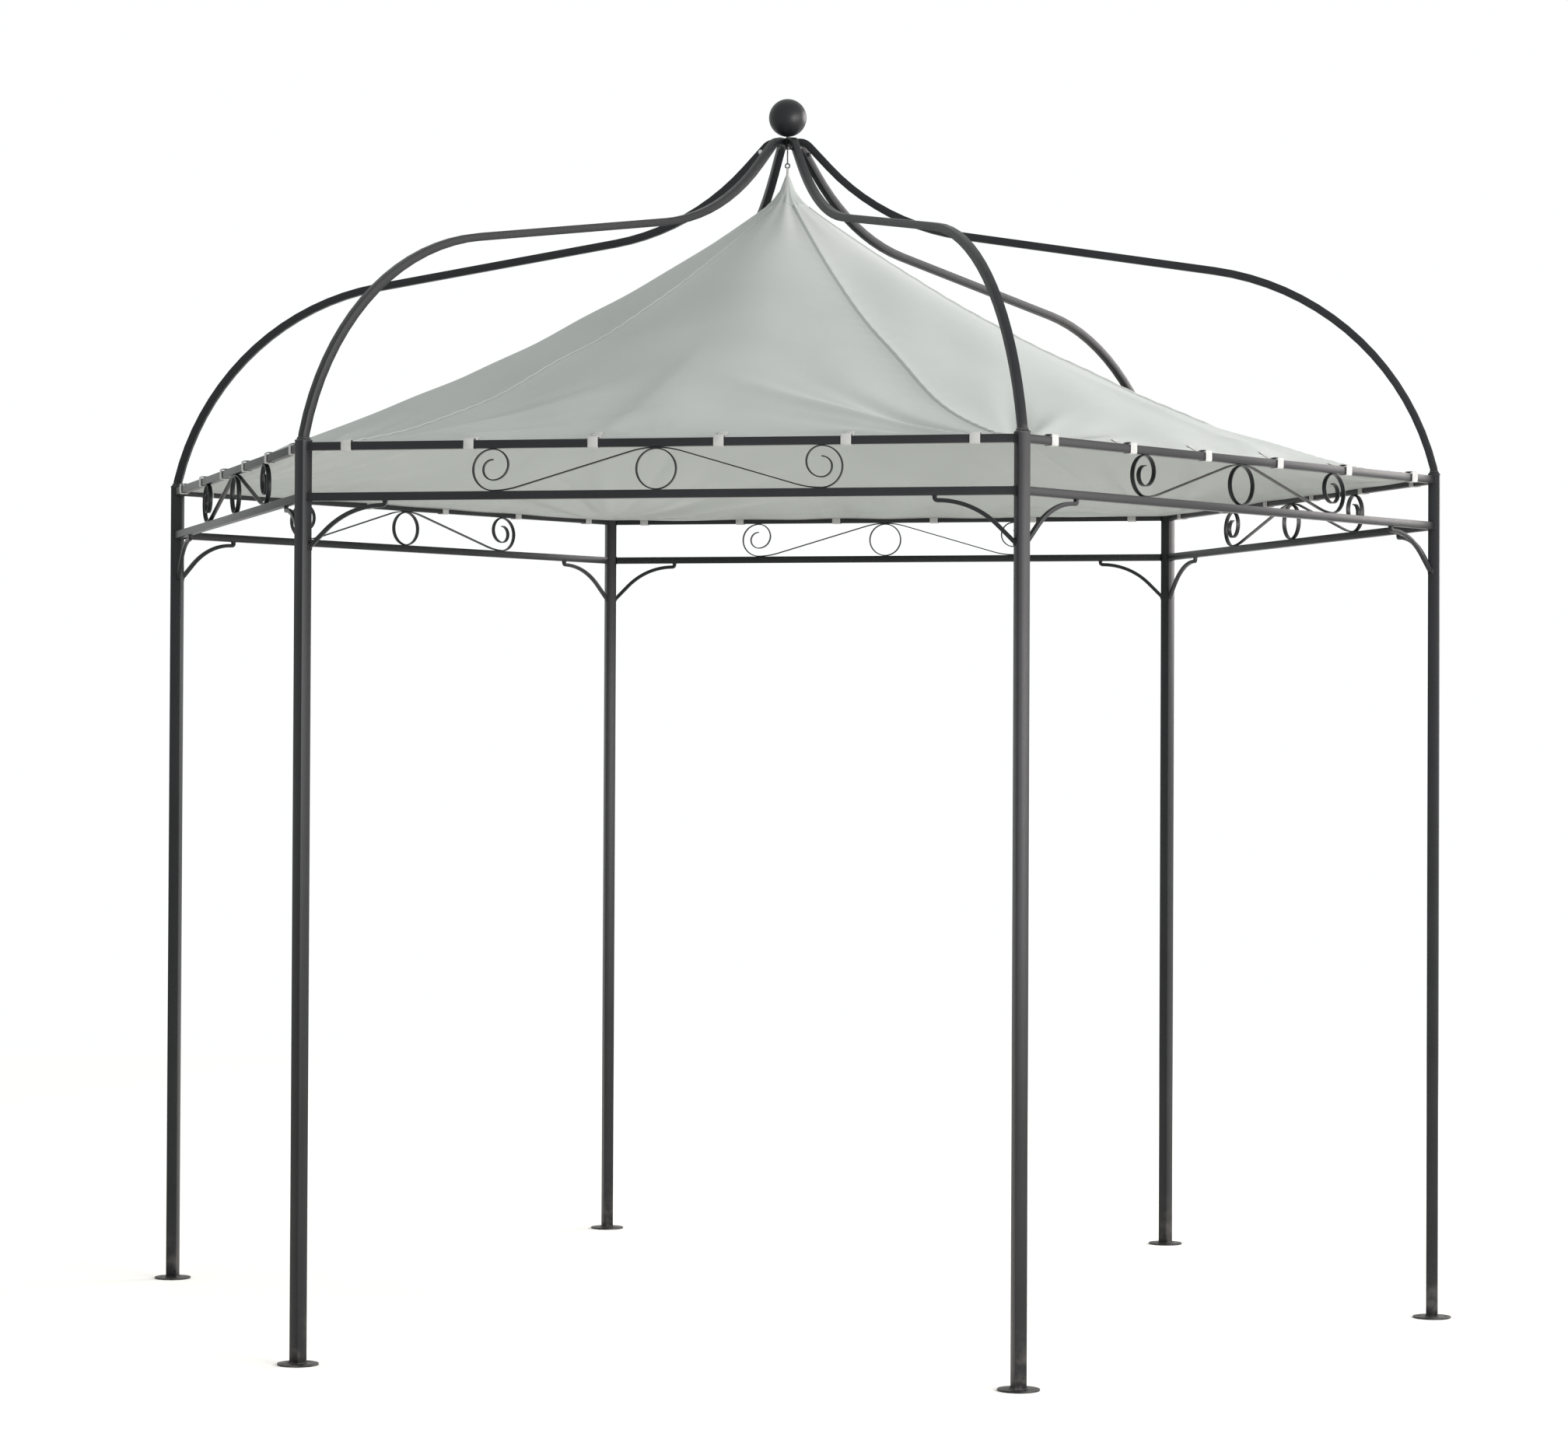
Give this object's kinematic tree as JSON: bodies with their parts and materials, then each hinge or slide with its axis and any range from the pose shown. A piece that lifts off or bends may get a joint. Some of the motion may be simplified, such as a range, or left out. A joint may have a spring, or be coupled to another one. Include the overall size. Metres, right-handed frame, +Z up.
{
  "type": "hexagonal gazebo",
  "caption": "Free-standing hexagonal garden gazebo of slim steel tube, with a peaked fabric canopy hung under bent ribs, scrollwork between its rails and a ball finial.",
  "frame": {"origin": "on the ground, at the centre of the hexagon", "axes": "+Z up through the ball finial; +X from the centre to post 1; the front side, between posts 5 and 6, faces -Y"},
  "size_m": [3.6, 3.1308, 3.27],
  "materials": {
    "frame_paint": "dark charcoal powder coat, satin, slightly textured",
    "zinc": "zinc plate, black passivated on the eye bolt and bright on the small bolts",
    "canopy_fabric": "coated woven polyester, grey white, matte",
    "strap_webbing": "white woven webbing"
  },
  "bodies": {
    "root": {"post_1": "frame_paint", "post_2": "frame_paint", "post_3": "frame_paint", "post_4": "frame_paint", "post_5": "frame_paint", "post_6": "frame_paint", "foot_plates": "frame_paint", "upper_rail_1": "frame_paint", "upper_rail_2": "frame_paint", "upper_rail_3": "frame_paint", "upper_rail_4": "frame_paint", "upper_rail_5": "frame_paint", "upper_rail_6": "frame_paint", "lower_rail_1": "frame_paint", "lower_rail_2": "frame_paint", "lower_rail_3": "frame_paint", "lower_rail_4": "frame_paint", "lower_rail_5": "frame_paint", "lower_rail_6": "frame_paint", "scroll_1": "frame_paint", "scroll_2": "frame_paint", "scroll_3": "frame_paint", "scroll_4": "frame_paint", "scroll_5": "frame_paint", "scroll_6": "frame_paint", "corner_brace_1": "frame_paint", "corner_brace_2": "frame_paint", "corner_brace_3": "frame_paint", "corner_brace_4": "frame_paint", "corner_brace_5": "frame_paint", "corner_brace_6": "frame_paint", "rib_1": "frame_paint", "rib_2": "frame_paint", "rib_3": "frame_paint", "rib_4": "frame_paint", "rib_5": "frame_paint", "rib_6": "frame_paint", "crown_hub": "frame_paint", "finial_ball": "frame_paint", "eye_bolt": "zinc", "canopy": "canopy_fabric", "canopy_straps": "strap_webbing"}
  },
  "joints": []
}
